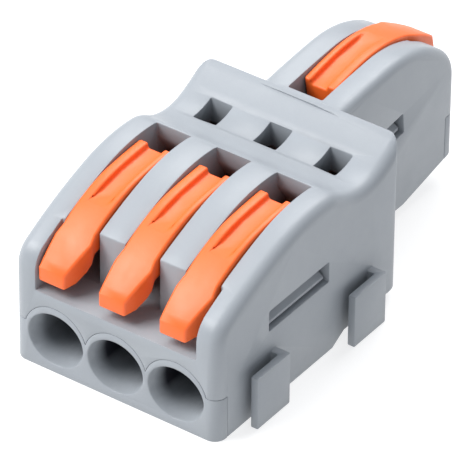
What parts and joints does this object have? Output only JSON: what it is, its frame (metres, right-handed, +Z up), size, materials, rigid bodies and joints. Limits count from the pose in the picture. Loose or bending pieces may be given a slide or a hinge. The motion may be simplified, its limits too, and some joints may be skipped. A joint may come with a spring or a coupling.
{
  "type": "lever wire connector",
  "caption": "Compact lever wire connector: ports and levers on a wide front body, a narrow tail with a port and lever at the rear, spring clamps on a common copper bar inside.",
  "frame": {"origin": "middle of the outline seen from above, on the standing face", "axes": "+Y runs from the wide front body to the one-port tail, +Z up, +X to the right as seen from in front of the three ports, which open towards -Y"},
  "size_m": [0.0212, 0.0391, 0.0146],
  "materials": {
    "housing": "satin moulded, light grey",
    "lever": "satin moulded, orange",
    "copper": null,
    "spring_steel": "rolled stainless strip"
  },
  "bodies": {
    "housing": {"housing_cover": "housing", "housing_base": "housing", "bus_bar": "copper", "spring_root_left": "spring_steel", "spring_root_middle": "spring_steel", "spring_root_right": "spring_steel", "spring_root_rear": "spring_steel"},
    "lever_left": {"lever_left": "lever"},
    "lever_middle": {"lever_middle": "lever"},
    "lever_right": {"lever_right": "lever"},
    "lever_rear": {"lever_rear": "lever"},
    "clamp_left": {"clamp_leg_left": "spring_steel"},
    "clamp_middle": {"clamp_leg_middle": "spring_steel"},
    "clamp_right": {"clamp_leg_right": "spring_steel"},
    "clamp_rear": {"clamp_leg_rear": "spring_steel"}
  },
  "joints": [
    {"name": "lever_left_hinge", "type": "hinge", "parent": "housing", "child": "lever_left", "pos_m": [-0.00547, -0.009, 0.0086], "axis": [-1, 0, 0], "range_deg": [0, 90]},
    {"name": "lever_middle_hinge", "type": "hinge", "parent": "housing", "child": "lever_middle", "pos_m": [0, -0.009, 0.0086], "axis": [-1, 0, 0], "range_deg": [0, 90]},
    {"name": "lever_right_hinge", "type": "hinge", "parent": "housing", "child": "lever_right", "pos_m": [0.00547, -0.009, 0.0086], "axis": [-1, 0, 0], "range_deg": [0, 90]},
    {"name": "lever_rear_hinge", "type": "hinge", "parent": "housing", "child": "lever_rear", "pos_m": [0, 0.00945, 0.00951], "axis": [1, 0, 0], "range_deg": [0, 84.5]},
    {"name": "clamp_left_hinge", "type": "hinge", "parent": "housing", "child": "clamp_left", "pos_m": [-0.00547, -0.0132, 0.00175], "axis": [-1, 0, 0], "range_deg": [0, 26.9]},
    {"name": "clamp_middle_hinge", "type": "hinge", "parent": "housing", "child": "clamp_middle", "pos_m": [0, -0.0132, 0.00175], "axis": [-1, 0, 0], "range_deg": [0, 26.9]},
    {"name": "clamp_right_hinge", "type": "hinge", "parent": "housing", "child": "clamp_right", "pos_m": [0.00547, -0.0132, 0.00175], "axis": [-1, 0, 0], "range_deg": [0, 26.9]},
    {"name": "clamp_rear_hinge", "type": "hinge", "parent": "housing", "child": "clamp_rear", "pos_m": [0, 0.01305, 0.003], "axis": [1, 0, 0], "range_deg": [0, 26.9]}
  ],
  "couplings": [
    {"joint": "clamp_left_hinge", "follows": "lever_left_hinge", "ratio": 0.298},
    {"joint": "clamp_middle_hinge", "follows": "lever_middle_hinge", "ratio": 0.298},
    {"joint": "clamp_right_hinge", "follows": "lever_right_hinge", "ratio": 0.298},
    {"joint": "clamp_rear_hinge", "follows": "lever_rear_hinge", "ratio": 0.317}
  ]
}
